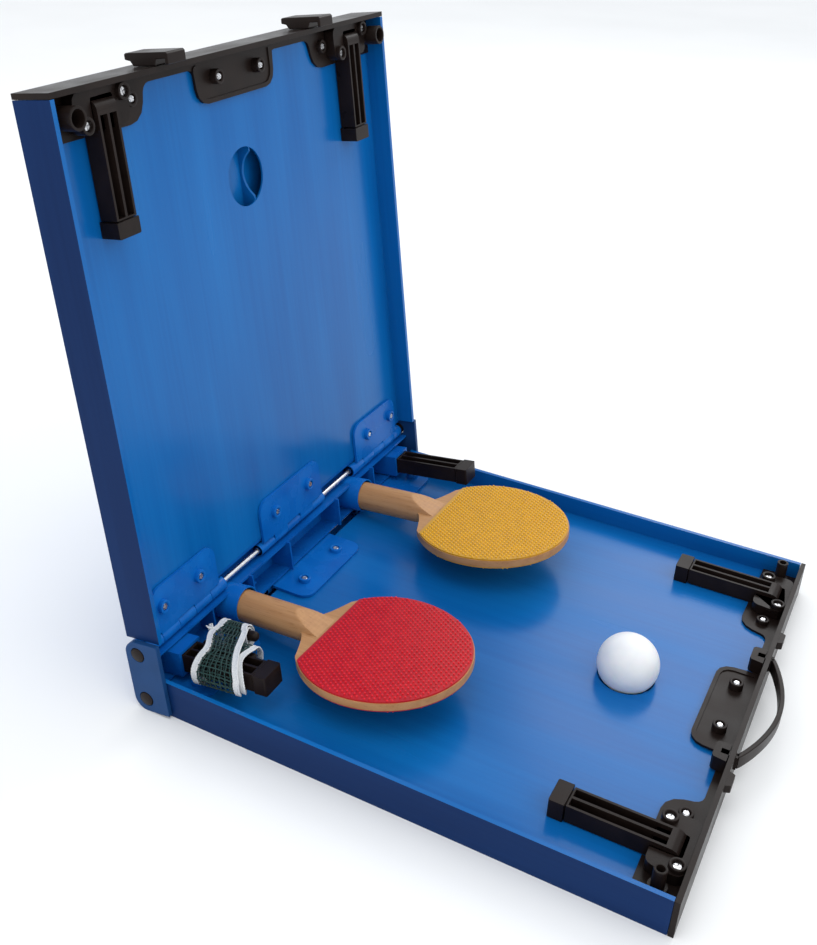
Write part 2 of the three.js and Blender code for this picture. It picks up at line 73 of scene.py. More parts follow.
# ---------------------------------------------------------------- sizes, millimetres
WIDTH = 340
PIVOT = 9.2            # hinge axis inset from the outer faces
PIVOT_SPACING = 33
BARREL_R = 4.35
ROLL_R = 5.2
FLOOR = 11.4           # twin-wall panel thickness
TAB_TOP = 13.7
TAB_BOSS_X = 31
TAB_BOSS_Y = (21, 58, 148, 192, 282, 319)
MOVING = ((16.7, 33.3), (50.2, 66.8), (144.7, 161.3), (178.7, 195.3), (273.2, 289.8), (306.7, 323.3))
FIXED = (
    (3.3, 16.4), (33.6, 49.9), (67.1, 84), (127.5, 144.4), (161.6, 178.4),
    (195.6, 212.5), (256, 272.9), (290.1, 306.4), (323.6, 336.7),
)
LEG_Y = (41, 299)
LEG_PIVOT = (328, 18)
SCREW_OFFSET = (6.2, 15.6)
POST = (328, 12.9)
POST_TOP = 29.4
SOCKET_Y = (88, 252)
SOCKET_Z = 25.7
SOCKET_SEAT = 14       # where the handle's axis crosses the socket's
HANDLE_Y = (120, 220)
CAP_OUT = 342.5
HANDLE_R = 10.8
BLADE_X = 131          # widest line of the blade
BLADE_HALF = 53.6
BLADE_BACK = 54.6
BLADE_FRONT = 59.6
BLADE_T = 5
BALL_R = 20
PIP_ACROSS = 3.17      # staggered grid of pips
PIP_ALONG = 2.56
PIP_R = 0.74
PIP_MARGIN = 3.2       # plain strip at the straight edge
SHEET_T = 1.1
SMALL_SCREW_R = 2.1
SCREW_R = 2.9          # head of the leg brackets' screws
CENTRE_BOSSES = ((327.5, 148), (327.5, 192))
SIDE_BOSSES = ((328, 69.7), (328, WIDTH - 69.7))
END_TAB_REACH = 100    # the two end tabs lie within this of the sides
HANDLE_START = 4
WEDGE_START = 67       # the handle thins from here
WEDGE_LENGTH = 23
WEDGE_FALL = 8.7
HANDLE_THICK = 11      # half thickness up to the wedge, more than the handle's radius
NECK_START = 77
NECK_BEND = 81
BLADE_START = 88
RUBBER_START = 92
RUBBER_INSET = 0.6

body_of_node = {
    node: body for body, nodes in frame["record"]["behaviour"]["bodies"].items() for node in nodes
}


# ---------------------------------------------------------------- frames of the parts
def joint(name):
    return next(j for j in frame["joints"] if j["name"] == name)


def axes(x, y, z, origin):
    made = Matrix((x, y, z)).transposed().to_4x4()
    made.translation = origin
    return made


ACROSS = Vector((0, 1, 0))
low_pin = Vector(joint("spine_hinge")["pos_m"])
top_pin = Vector(joint("upper_hinge")["pos_m"])
spine_up = (top_pin - low_pin).normalized()
spine_front = Vector((spine_up.z, 0, -spine_up.x))
near_edge = -WIDTH / 2 * MM * ACROSS

LOWER = Matrix.Translation(Vector((low_pin.x - PIVOT * MM, near_edge.y, 0)))
SPINE = axes(spine_front, ACROSS, spine_up, low_pin - PIVOT * MM * (spine_front + spine_up) + near_edge)
UPPER = axes(
    spine_up, -ACROSS, spine_front,
    SPINE @ (Vector((0, WIDTH, PIVOT_SPACING)) * MM),
)
HALVES = (("lower", LOWER), ("upper", UPPER))


def paddle_frame(joint_name, y):
    x = Vector(joint(joint_name)["axis"])
    across = spine_up.cross(x).normalized()
    crossing = SPINE @ (Vector((SOCKET_SEAT, y, SOCKET_Z)) * MM)
    return axes(x, across, x.cross(across), crossing - x * (SOCKET_SEAT * MM / x.dot(spine_front)))


# ---------------------------------------------------------------- materials
def add(tree, kind, settings=None, **inputs):
    """A shader node with its settings, and its inputs as numbers or links."""
    made = tree.nodes.new("ShaderNode" + kind)
    for key, value in (settings or {}).items():
        setattr(made, key, value)
    for key, value in inputs.items():
        socket = made.inputs[key.replace("_", " ")]
        if isinstance(value, bpy.types.NodeSocket):
            tree.links.new(value, socket)
        else:
            socket.default_value = value
    return made


def blank(name, roughness=0.5, metallic=0.0):
    mat = bpy.data.materials.new(name)
    mat.use_nodes = True
    tree = mat.node_tree
    shader = tree.nodes["Principled BSDF"]
    shader.inputs["Roughness"].default_value = roughness
    shader.inputs["Metallic"].default_value = metallic
    return mat, tree, shader


def noise(tree, scale, stretch=(1, 1, 1), detail=3.0):
    """Noise in the piece's own frame, one cell about 1 / scale metres, stretched along an axis."""
    where = add(tree, "TexCoord").outputs["Object"]
    spread = add(tree, "Mapping", Vector=where, Scale=stretch)
    made = add(tree, "TexNoise", Vector=spread.outputs["Vector"], Scale=scale, Detail=detail)
    return made.outputs["Fac"]


def mixed(tree, fac, dark, light, low=0.3, high=0.7):
    ramp = add(tree, "ValToRGB", Fac=fac)
    ramp.color_ramp.elements[0].position = low
    ramp.color_ramp.elements[0].color = (*dark, 1)
    ramp.color_ramp.elements[1].position = high
    ramp.color_ramp.elements[1].color = (*light, 1)
    return ramp.outputs["Color"]


def between(tree, fac, low, high):
    made = add(tree, "MapRange", Value=fac, From_Min=0.3, From_Max=0.7, To_Min=low, To_Max=high)
    return made.outputs["Result"]


def bumped(tree, shader, height, distance, strength=1.0):
    made = add(tree, "Bump", Height=height, Distance=distance, Strength=strength)
    tree.links.new(made.outputs["Normal"], shader.inputs["Normal"])


def connect(tree, source, shader, name):
    tree.links.new(source, shader.inputs[name])


def extruded_plastic(name, dark, light, rough, shine=0.2):
    """Glossy extruded panel: die lines and faint bands along x, slow drift of colour, fine scuffs."""
    mat, tree, shader = blank(name)
    bands = noise(tree, 26, (0.12, 1, 1), 2)
    lines = noise(tree, 420, (0.02, 1, 1), 4)
    scuffs = noise(tree, 900, (0.25, 1, 1), 2)
    both = add(tree, "Math", {"operation": "MULTIPLY_ADD"})
    tree.links.new(lines, both.inputs[0])
    both.inputs[1].default_value = 0.35
    tree.links.new(bands, both.inputs[2])
    connect(tree, mixed(tree, both.outputs[0], dark, light, 0.45, 0.9), shader, "Base Color")
    connect(tree, between(tree, bands, *rough), shader, "Roughness")
    shader.inputs["Specular IOR Level"].default_value = shine
    height = add(tree, "Math", {"operation": "MULTIPLY_ADD"})
    tree.links.new(scuffs, height.inputs[0])
    height.inputs[1].default_value = 0.15
    tree.links.new(both.outputs[0], height.inputs[2])
    bumped(tree, shader, height.outputs[0], 0.00016, 0.4)
    return mat


def moulded_plastic(name, dark, light, rough, grain=0.00006):
    """Injection moulded plastic with a fine spark-eroded grain and slight flow marks."""
    mat, tree, shader = blank(name)
    flow = noise(tree, 45, (1, 1, 1), 4)
    fine = noise(tree, 1600, (1, 1, 1), 2)
    connect(tree, mixed(tree, flow, dark, light), shader, "Base Color")
    connect(tree, between(tree, flow, *rough), shader, "Roughness")
    bumped(tree, shader, fine, grain, 0.6)
    shader.inputs["Specular IOR Level"].default_value = 0.14
    return mat


def brushed_steel(name):
    mat, tree, shader = blank(name, metallic=1.0)
    marks = noise(tree, 900, (1, 1, 0.1), 3)
    connect(tree, mixed(tree, marks, (0.55, 0.55, 0.57), (0.85, 0.85, 0.86)), shader, "Base Color")
    connect(tree, between(tree, marks, 0.2, 0.42), shader, "Roughness")
    bumped(tree, shader, marks, 0.00003)
    return mat


def beech(name):
    """Pale beech with grain and short flecks along the handle, and ply lines on the blade's edge."""
    mat, tree, shader = blank(name)
    grain = noise(tree, 260, (0.05, 1, 1), 6)
    flecks = noise(tree, 900, (0.12, 1, 1), 2)
    tone = mixed(tree, grain, (0.62, 0.300, 0.108), (0.76, 0.410, 0.172), 0.3, 0.72)
    fleck = mixed(tree, flecks, (0.84, 0.79, 0.74), (1, 1, 1), 0.30, 0.40)
    shade = add(tree, "MixRGB", {"blend_type": "MULTIPLY"}, Fac=1.0, Color1=tone, Color2=fleck)
    split = add(tree, "SeparateXYZ", Vector=add(tree, "TexCoord").outputs["Object"])
    plies = add(tree, "Math", {"operation": "PINGPONG"})
    tree.links.new(split.outputs["Z"], plies.inputs[0])
    plies.inputs[1].default_value = 0.5 * MM
    line = mixed(tree, plies.outputs[0], (0.45, 0.40, 0.36), (1, 1, 1), 0.0, 0.00018)
    on_edge = add(tree, "MixRGB", {"blend_type": "MULTIPLY"}, Fac=0.55, Color2=line)
    tree.links.new(shade.outputs["Color"], on_edge.inputs["Color1"])
    connect(tree, on_edge.outputs["Color"], shader, "Base Color")
    connect(tree, between(tree, grain, 0.42, 0.6), shader, "Roughness")
    bumped(tree, shader, grain, 0.00012, 0.6)
    return mat


def rubber(name, dark, light):
    """Pimpled rubber with painted shade on the sheet between its pips and a painted highlight on the pip tops, a
    slight mottle and a very fine tooth.
    """
    mat, tree, shader = blank(name)
    mottle = noise(tree, 160, (1, 1, 1), 5)
    tooth = noise(tree, 2600, (1, 1, 1), 2)
    split = add(tree, "SeparateXYZ", Vector=add(tree, "TexCoord").outputs["Object"])
    height = add(tree, "Math", {"operation": "ABSOLUTE"})
    tree.links.new(split.outputs["Z"], height.inputs[0])
    floor_z = (BLADE_T / 2 + SHEET_T) * MM
    # Painted light: colour lightens with height above the sheet, a painted highlight on the pip tops and painted
    # shade between them.
    pip_highlight_mask = add(
        tree, "MapRange", Value=height.outputs[0], From_Min=floor_z, From_Max=floor_z + 0.7 * MM,
    )
    # Sheet colour darkened as painted shade, pip colour lightened as painted highlight.
    sheet = mixed(tree, mottle, [0.6 * c for c in dark], [0.72 * c for c in dark])
    pips = mixed(tree, mottle, [0.5 * (a + b) for a, b in zip(dark, light)], light)
    tone = add(tree, "MixRGB", Fac=pip_highlight_mask.outputs["Result"], Color1=sheet, Color2=pips)
    connect(tree, tone.outputs["Color"], shader, "Base Color")
    connect(tree, between(tree, mottle, 0.30, 0.48), shader, "Roughness")
    bumped(tree, shader, tooth, 0.00004, 0.7)
    return mat


def celluloid(name):
    mat, tree, shader = blank(name)
    cloud = noise(tree, 90, (1, 1, 1), 4)
    tooth = noise(tree, 3000, (1, 1, 1), 2)
    connect(tree, mixed(tree, cloud, (0.83, 0.84, 0.85), (0.9, 0.9, 0.9)), shader, "Base Color")
    connect(tree, between(tree, cloud, 0.42, 0.55), shader, "Roughness")
    shader.inputs["Subsurface Weight"].default_value = 0.15
    shader.inputs["Subsurface Scale"].default_value = 0.004
    bumped(tree, shader, tooth, 0.00002, 0.5)
    return mat


def cloth(name, dark, light, weave, sheen):
    """Woven or twisted yarn: ribs of weave metres along and across, with loose fibres."""
    mat, tree, shader = blank(name, roughness=0.85)
    where = add(tree, "TexCoord").outputs["Object"]
    heights = []
    for axis in ("X", "Y", "Z"):
        wave = add(tree, "TexWave", {"bands_direction": axis}, Vector=where, Scale=0.31 / weave)
        heights.append(wave.outputs["Fac"])
    total = add(tree, "Math", {"operation": "ADD"})
    tree.links.new(heights[0], total.inputs[0])
    tree.links.new(heights[1], total.inputs[1])
    more = add(tree, "Math", {"operation": "ADD"})
    tree.links.new(total.outputs[0], more.inputs[0])
    tree.links.new(heights[2], more.inputs[1])
    fibres = noise(tree, 1400, (1, 1, 1), 4)
    connect(tree, mixed(tree, fibres, dark, light), shader, "Base Color")
    shader.inputs["Sheen Weight"].default_value = sheen
    bumped(tree, shader, more.outputs[0], 0.00012, 0.6)
    return mat


PANEL = extruded_plastic("blue_panel", (0.002, 0.100, 0.35), (0.004, 0.145, 0.45), (0.13, 0.28))
# Outer side walls of the trays: the panel's blue darkened to navy as painted shade for faces turned from the
# light, and rougher.
WALL_PAINTED_SHADE = extruded_plastic("wall_painted_shade", (0.003, 0.020, 0.088), (0.006, 0.032, 0.125), (0.3, 0.45), 0.08)
TAB_BLUE = moulded_plastic("blue_moulding", (0.002, 0.105, 0.43), (0.004, 0.145, 0.52), (0.2, 0.34))
SPINE_BLUE = moulded_plastic("spine_blue", (0.002, 0.085, 0.36), (0.004, 0.12, 0.45), (0.22, 0.36))
# Spine end plates: the moulded blue darkened to navy as painted shade of their outward faces.
END_PLATE_PAINTED_SHADE = moulded_plastic("end_plate_painted_shade", (0.007, 0.044, 0.14), (0.012, 0.060, 0.185), (0.32, 0.45))
BLACK = moulded_plastic(
    "black_moulding", (0.009, 0.0055, 0.0045), (0.018, 0.0115, 0.0095), (0.27, 0.40), 0.0001,
)
STEEL = brushed_steel("brushed_steel")
WOOD = beech("beech_wood")
RED = rubber("red_rubber", (0.72, 0.004, 0.012), (0.86, 0.010, 0.026))
YELLOW = rubber("yellow_rubber", (0.90, 0.44, 0.004), (0.97, 0.53, 0.010))
BALL = celluloid("ball_plastic")
YARN = cloth("green_yarn", (0.001, 0.020, 0.018), (0.006, 0.062, 0.055), 0.0006, 0.15)
TAPE = cloth("white_tape", (0.60, 0.62, 0.63), (0.84, 0.84, 0.83), 0.00045, 0.2)


# ---------------------------------------------------------------- mesh helpers
def soften(bm, width, sharper_than=30):
    """Rounds every edge that is sharp and long enough to show."""
    edges = [
        e for e in bm.edges
        if len(e.link_faces) == 2 and e.calc_face_angle(0) > sharper_than * RAD
        and e.calc_length() > 2 * width
    ]
    bmesh.ops.bevel(
        bm, geom=edges, offset=width, segments=2, profile=0.5, affect="EDGES", clamp_overlap=True
    )


def finished(name, bm, place, mat, body, replaces=(), smooth=35):
    """The bmesh as a piece in its part's frame, smooth where it is round, riding on its body."""
    bmesh.ops.recalc_face_normals(bm, faces=bm.faces)
    mesh = bpy.data.meshes.new(name)
    bm.to_mesh(mesh)
    bm.free()
    mesh.materials.append(mat)
    mesh.shade_smooth()
    mesh.set_sharp_from_angle(angle=smooth * RAD)
    made = bpy.data.objects.new(name, mesh)
    bpy.context.scene.collection.objects.link(made)
    made.matrix_world = place
    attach(made, body)
    if replaces:
        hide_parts(*replaces)
    return made


def add_faces(bm, points, faces):
    """Adds a patch given in millimetres."""
    verts = [bm.verts.new(Vector(p) * MM) for p in points]
    for face in faces:
        bm.faces.new([verts[i] for i in face])
    return verts


def lathe(bm, profile, origin, axis, sides=48):
    """Turns a closed profile of (radius, height) about an axis through origin, in millimetres."""
    axis = Vector(axis).normalized()
    turn = axis.to_track_quat("Z", "Y").to_matrix()
    n = len(profile)
    points = []
    for i in range(sides):
        a = 2 * math.pi * i / sides
        for r, h in profile:
            points.append(Vector(origin) + turn @ Vector((r * math.cos(a), r * math.sin(a), h)))
    faces = []
    for i in range(sides):
        j = (i + 1) % sides
        for k in range(n):
            m = (k + 1) % n
            faces.append((i * n + k, j * n + k, j * n + m, i * n + m))
    verts = add_faces(bm, points, faces)
    bmesh.ops.remove_doubles(bm, verts=verts, dist=1e-7)


def round_ring(bm, origin, axis, outer, inner, low, high, edge=0.35):
    """A ring with rounded rims."""
    lathe(bm, [
        (inner, low), (inner, high - edge), (inner + 0.3 * edge, high - 0.3 * edge),
        (inner + edge, high), (outer - edge, high), (outer - 0.3 * edge, high - 0.3 * edge),
        (outer, high - edge), (outer, low),
    ], origin, axis)


def round_rod(bm, origin, axis, radius, low, high, edge=0.4, sides=40):
    """A rod with rounded ends."""
    lathe(bm, [
        (0, low), (radius - edge, low), (radius - 0.3 * edge, low + 0.3 * edge), (radius, low + edge),
        (radius, high - edge), (radius - 0.3 * edge, high - 0.3 * edge), (radius - edge, high), (0, high),
    ], origin, axis, sides)


def prism(bm, outline, low, high, place=Matrix.Identity(4)):
    """A flat outline of (x, y) raised from low to high."""
    n = len(outline)
    points = [place @ Vector((x, y, low)) for x, y in outline]
    points += [place @ Vector((x, y, high)) for x, y in outline]
    sides = [(i, (i + 1) % n, n + (i + 1) % n, n + i) for i in range(n)]
    add_faces(bm, points, [*sides, tuple(range(n))[::-1], tuple(range(n, 2 * n))])


def tube_faces(rings, sides):
    """Quads between neighbouring rings of points, and a flat face over each end."""
    faces = []
    for i in range(rings - 1):
        here, beyond = i * sides, (i + 1) * sides
        for k in range(sides):
            m = (k + 1) % sides
            faces.append((here + k, here + m, beyond + m, beyond + k))
    last = (rings - 1) * sides
    return [*faces, tuple(range(sides))[::-1], tuple(last + k for k in range(sides))]


def sweep(bm, path, section, across):
    """Carries a closed section of (along across, along normal) down a path, with flat ends."""
    points = []
    for i, p in enumerate(path):
        ahead = path[min(i + 1, len(path) - 1)] - path[max(i - 1, 0)]
        normal = ahead.cross(across).normalized()
        for u, v in section:
            points.append(p + across * u + normal * v)
    add_faces(bm, points, tube_faces(len(path), len(section)))


def round_section(radius, sides=6, squash=1.0):
    return [
        (radius * math.cos(2 * math.pi * k / sides), squash * radius * math.sin(2 * math.pi * k / sides))
        for k in range(sides)
    ]


def smooth_path(points, step):
    """Catmull-Rom curve through the points, resampled about every step millimetres."""
    dense = []
    ends = [points[0] * 2 - points[1], *points, points[-1] * 2 - points[-2]]
    for a, b, c, d in zip(ends, ends[1:], ends[2:], ends[3:]):
        count = max(2, round((c - b).length / step))
        for i in range(count):
            t = i / count
            dense.append(0.5 * (
                2 * b + (c - a) * t + (2 * a - 5 * b + 4 * c - d) * t * t
                + (3 * b - a - 3 * c + d) * t ** 3
            ))
    dense.append(points[-1])
    return dense


# ---------------------------------------------------------------- carried-over shapes
def refined(node, place, mat, width=0.3, name=None):
    """The CAD shape of a node with its edges rounded, as a piece in its part's frame."""
    bm = bmesh.new()
    bm.from_mesh(frame["nodes"][node].data)
    bmesh.ops.transform(bm, matrix=place.inverted(), verts=bm.verts)
    bmesh.ops.remove_doubles(bm, verts=bm.verts, dist=1e-6)
    bmesh.ops.dissolve_limit(bm, angle_limit=1.0 * RAD, verts=bm.verts, edges=bm.edges)
    soften(bm, width * MM)
    made = finished(name or node + "_skin", bm, place, mat, body_of_node[node], (node,))
    made.modifiers.new("even_light", "WEIGHTED_NORMAL").keep_sharp = True
    return made


def halves():
    for label, place in HALVES:
        tray = refined(label + "_tray", place, PANEL, 0.35)
        tray.data.materials.append(WALL_PAINTED_SHADE)
        # Faces on the outermost side walls take the second slot, the blue with painted shade.
        for face in tray.data.polygons:
            painted_shade_face = abs(face.center.y - WIDTH / 2 * MM) > (WIDTH / 2 - 0.1) * MM
            face.material_index = 1 if painted_shade_face else 0
        refined(label + "_end_cap", place, BLACK, 0.3)
        for tab in ("near", "centre", "far"):
            refined(f"{label}_hinge_tab_{tab}", place, TAB_BLUE, 0.25)
        for end in ("a", "b"):
            refined(f"{label}_leg_bracket_{end}", place, BLACK, 0.3)
            refined(f"{label}_leg_{end}", place, BLACK, 0.25)
            refined(f"{label}_leg_foot_{end}", place, BLACK, 0.5)
        knuckle_covers(label, place)
        boss_rings(label, place)
        for (x, y), tag in zip(screw_places(), ("a1", "a2", "b1", "b2")):
            screw(f"{label}_screw_{tag}", label, place, x, y)


def screw_places():
    px = LEG_PIVOT[0]
    dx, dy = SCREW_OFFSET
    return [(px + side * dx, y - side * dy) for y in LEG_Y for side in (-1, 1)]


def barrel(bm, z, a, b):
    """A knuckle about the pin at height z; those of the two end tabs are rolled thicker."""
    centre_tab = a > END_TAB_REACH and b < WIDTH - END_TAB_REACH
    radius = BARREL_R if centre_tab else ROLL_R
    middle = (a + b) / 2
    reach = (b - a) / 2
    for heading in (1, -1):
        origin = (PIVOT, middle, z)
        round_ring(bm, origin, (0, heading, 0), radius, 2.1, 0, reach, 0.3)


def knuckle_covers(label, place):
    """Round moving barrels of one half's three hinge tabs."""
    bm = bmesh.new()
    for a, b in MOVING:
        barrel(bm, PIVOT, a, b)
    finished(label + "_hinge_barrels", bm, place, TAB_BLUE, label + "_half")


def boss_rings(label, place):
    """Turned rims of the screw bosses on the tabs, the end cap, the brackets and the corner posts."""
    up = (0, 0, 1)
    bm = bmesh.new()
    for y in TAB_BOSS_Y:
        round_ring(bm, (TAB_BOSS_X, y, 0), up, 4.45, 2.55, TAB_TOP - 0.5, 16.6)
    finished(label + "_tab_bosses", bm, place, TAB_BLUE, label + "_half")
    bm = bmesh.new()
    for x, y in CENTRE_BOSSES:
        round_ring(bm, (x, y, 0), up, 4.45, 2.75, 13, 18.3)
    for x, y in SIDE_BOSSES:
        round_ring(bm, (x, y, 0), up, 4.35, 2.65, 13, 16.5)
    for x, y in screw_places():
        round_ring(bm, (x, y, 0), up, 4.75, 3.05, 18, 23.6)
    for y in (POST[1], WIDTH - POST[1]):
        outer, inner = (3.75, 2.35) if label == "lower" else (6.3, 4.6)
        round_ring(bm, (POST[0], y, 0), up, outer, inner, 13, POST_TOP + 0.05, 0.5)
    finished(label + "_cap_bosses", bm, place, BLACK, label + "_half")
    bm = bmesh.new()
    for y in TAB_BOSS_Y:
        screw_head(bm, TAB_BOSS_X, y, 14.6, SMALL_SCREW_R)
    for x, y in CENTRE_BOSSES:
        screw_head(bm, x, y, 16.4, SMALL_SCREW_R)
    for x, y in SIDE_BOSSES:
        screw_head(bm, x, y, 14.6, SMALL_SCREW_R)
    finished(label + "_boss_screws", bm, place, STEEL, label + "_half")


def screw_head(bm, x, y, base, radius):
    """Pan head with a cross recess, as four raised quarters on a turned disc."""
    lathe(bm, [
        (0, base), (radius, base), (radius, base + 0.7), (0.9 * radius, base + 1.0),
        (0.78 * radius, base + 1.15), (0, base + 1.15),
    ], (x, y, 0), (0, 0, 1), 32)
    slot_half = 0.1 * radius
    for quarter in range(4):
        outline = [(slot_half, slot_half)]
        for k in range(7):
            a = (8 + 74 * k / 6) * RAD
            outline.append((0.74 * radius * math.cos(a), 0.74 * radius * math.sin(a)))
        turn = Matrix.Rotation(quarter * math.pi / 2 + x + y, 4, "Z")
        prism(bm, outline, base + 1.1, base + 1.65, Matrix.Translation(Vector((x, y, 0))) @ turn)


def screw(node, label, place, x, y):
    bm = bmesh.new()
    screw_head(bm, x, y, 20.35, SCREW_R)
    finished(node + "_head", bm, place, STEEL, label + "_half", (node,))


# ---------------------------------------------------------------- closures
def handle_strap():
    """Flat strap bowed between two slots, with a head behind the end wall at each end."""
    bm = bmesh.new()
    path = []
    steps = 72
    for i in range(steps + 1):
        t = -1 + 2 * i / steps
        rise = max(0.0, math.cos(t * math.pi / 2)) ** 0.85
        path.append(Vector((CAP_OUT + 0.9 + 14 * rise, WIDTH / 2 + t * 50, 19)))
    section = [
        (-4.6, -1.0), (-4.2, -1.45), (4.2, -1.45), (4.6, -1.0),
        (4.6, 1.0), (4.2, 1.45), (-4.2, 1.45), (-4.6, 1.0),
    ]
    sweep(bm, path, section, Vector((0, 0, 1)))
    for y in HANDLE_Y:
        place = Matrix.Translation(Vector((0, y, 0)))
        prism(bm, [(334, -2.1), (344, -2.1), (344.2, 2.1), (334, 2.1)], 14.4, 23.6, place)
        head = [(330, -5.5), (331.2, -7), (338.6, -8), (338.6, 8), (331.2, 7), (330, 5.5)]
        prism(bm, head, TAB_TOP, 23.6, place)
    bmesh.ops.remove_doubles(bm, verts=bm.verts, dist=1e-6)
    finished("handle_strap_band", bm, LOWER, BLACK, "lower_half", ("handle_strap",))


def latches():
    for end in ("near", "far"):
        refined("latch_" + end, UPPER, BLACK, 0.45)


# ---------------------------------------------------------------- spine
def spine():
    refined("spine_shell", SPINE, SPINE_BLUE, 0.2)
    for end in ("near", "far"):
        # End plates take the blue with painted shade.
        refined("spine_end_plate_" + end, SPINE, END_PLATE_PAINTED_SHADE, 0.5)
        refined("spine_leg_" + end, SPINE, BLACK, 0.25)
        refined("spine_leg_foot_" + end, SPINE, BLACK, 0.5)
    bm = bmesh.new()
    pins = (PIVOT, PIVOT + PIVOT_SPACING)
    for z in pins:
        for a, b in FIXED:
            barrel(bm, z, a, b)
    finished("spine_barrels", bm, SPINE, TAB_BLUE, "spine")
    bm = bmesh.new()
    for y in SOCKET_Y:
        round_ring(bm, (0, y, SOCKET_Z), (1, 0, 0), 12.85, 11.65, 2, 25.2, 0.4)
    finished("paddle_sockets", bm, SPINE, TAB_BLUE, "spine")
    for tag, z in zip(("low", "top"), pins):
        bm = bmesh.new()
        round_rod(bm, (PIVOT, 0, z), (0, 1, 0), 2.0, 0.4, WIDTH - 0.4)
        finished(f"hinge_pin_{tag}", bm, SPINE, STEEL, "spine", (f"hinge_rod_{tag}",))
        for end, y0, y1 in (("near", -3.9, -0.6), ("far", WIDTH + 0.6, WIDTH + 3.9)):
            bm = bmesh.new()
            round_rod(bm, (PIVOT, 0, z), (0, 1, 0), 4.8, y0, y1, 0.7)
            node = f"plug_{end}_{tag}"
            finished(node + "_cap", bm, SPINE, BLACK, "spine", (node,))


# ---------------------------------------------------------------- paddles
def blade_round(start_x, inset, steps):
    """Near half of the blade's round outline, from x = start_x to the tip."""
    start = math.acos((BLADE_X - start_x) / (BLADE_BACK - inset))
    points = []
    for i in range(steps):
        a = start + (math.pi - start) * i / steps
        reach = (BLADE_BACK if a < math.pi / 2 else BLADE_FRONT) - inset
        points.append((BLADE_X - reach * math.cos(a), -(BLADE_HALF - inset) * math.sin(a)))
    return points


def blade_outline(near, inset):
    return [*near, (BLADE_X + BLADE_FRONT - inset, 0), *[(x, -y) for x, y in reversed(near)]]


def paddle_wood(label, place):
    bm = bmesh.new()
    widest = blade_round(BLADE_START, 0, 60)
    end = Vector((*widest[0], 0))
    neck = []
    for i in range(10):
        t = i / 10
        a, b = Vector((NECK_START, -HANDLE_R, 0)), Vector((NECK_BEND, -HANDLE_R - 2, 0))
        p = a * (1 - t) ** 2 + b * (2 * t * (1 - t)) + end * t * t
        neck.append((p.x, p.y))
    prism(bm, blade_outline([*neck, *widest], 0), -BLADE_T / 2, BLADE_T / 2)
    soften(bm, 0.5 * MM, 60)
    wedge = [WEDGE_START + i for i in range(WEDGE_LENGTH + 1)]
    stations = [HANDLE_START, 4.6, 20, 35, 50, 60, 66, *wedge]
    sides = 64
    points = []
    for x in stations:
        thick = HANDLE_THICK - max(0, x - WEDGE_START) * WEDGE_FALL / WEDGE_LENGTH
        radius = HANDLE_R - (0.6 if x == HANDLE_START else 0)
        for k in range(sides):
            a = 2 * math.pi * k / sides
            points.append((x, radius * math.cos(a), max(-thick, min(thick, radius * math.sin(a)))))
    add_faces(bm, points, tube_faces(len(stations), sides))
    finished(
        label + "_blade_and_handle", bm, place, WOOD, label + "_paddle",
        (label + "_paddle_wood",), 25,
    )


def inside_blade(x, y, inset):
    reach = (BLADE_BACK if x < BLADE_X else BLADE_FRONT) - inset
    return ((x - BLADE_X) / reach) ** 2 + (y / (BLADE_HALF - inset)) ** 2 < 1


def pip_places():
    rows = int((BLADE_BACK + BLADE_FRONT) / PIP_ALONG) + 1
    columns = int(BLADE_HALF / PIP_ACROSS) + 1
    for row in range(rows):
        x = RUBBER_START + PIP_MARGIN + row * PIP_ALONG
        for column in range(-columns, columns + 1):
            y = (column + 0.5 * (row % 2)) * PIP_ACROSS
            if inside_blade(x, y, RUBBER_INSET + PIP_R):
                yield x, y


def rubber_sheet(label, side, up, mat, place):
    """Rubber sheet with its moulded pips, on one face of the blade."""
    bm = bmesh.new()
    base = BLADE_T / 2 + 0.02
    edge = blade_round(RUBBER_START, RUBBER_INSET, 60)
    prism(bm, blade_outline(edge, RUBBER_INSET), up * base, up * (base + SHEET_T))
    soften(bm, 0.3 * MM, 60)
    rings = ((PIP_R, 0.0), (PIP_R * 0.86, 0.25), (PIP_R * 0.78, 0.75), (PIP_R * 0.52, 0.98))
    sides = 8
    for x, y in pip_places():
        lean = 0.05 * math.sin(x * 12.9 + y * 78.2)
        points = [
            (x + r * math.cos(2 * math.pi * k / sides) + lean * h,
             y + r * math.sin(2 * math.pi * k / sides),
             up * (base + SHEET_T - 0.05 + h))
            for r, h in rings for k in range(sides)
        ]
        add_faces(bm, points, tube_faces(len(rings), sides))
    node = f"{label}_rubber_{side}"
    finished(node + "_pips", bm, place, mat, label + "_paddle", (node,), 50)


def paddles():
    for label, y, mat in (("red", SOCKET_Y[0], RED), ("yellow", SOCKET_Y[1], YELLOW)):
        place = paddle_frame(label + "_paddle_out", y)
        paddle_wood(label, place)
        rubber_sheet(label, "top", 1, mat, place)
        rubber_sheet(label, "bottom", -1, mat, place)


# ---------------------------------------------------------------- ball
def ball():
    """Two halves that meet at a faint glued seam."""
    low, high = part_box("ball")
    centre = Matrix.Translation((low + high) / 2) @ Matrix.Rotation(0.6, 4, "Y")
    bm = bmesh.new()
    profile = []
    steps = 64
    for i in range(steps + 1):
        a = -math.pi / 2 + math.pi * i / steps
        radius = BALL_R - 0.05 * math.exp(-((a * BALL_R) / 0.5) ** 2)
        profile.append((max(0.0, radius * math.cos(a)), radius * math.sin(a)))
    lathe(bm, profile, (0, 0, 0), (0, 0, 1), 96)
    finished("ball_shell", bm, centre, BALL, body_of_node["ball"], ("ball",), 60)


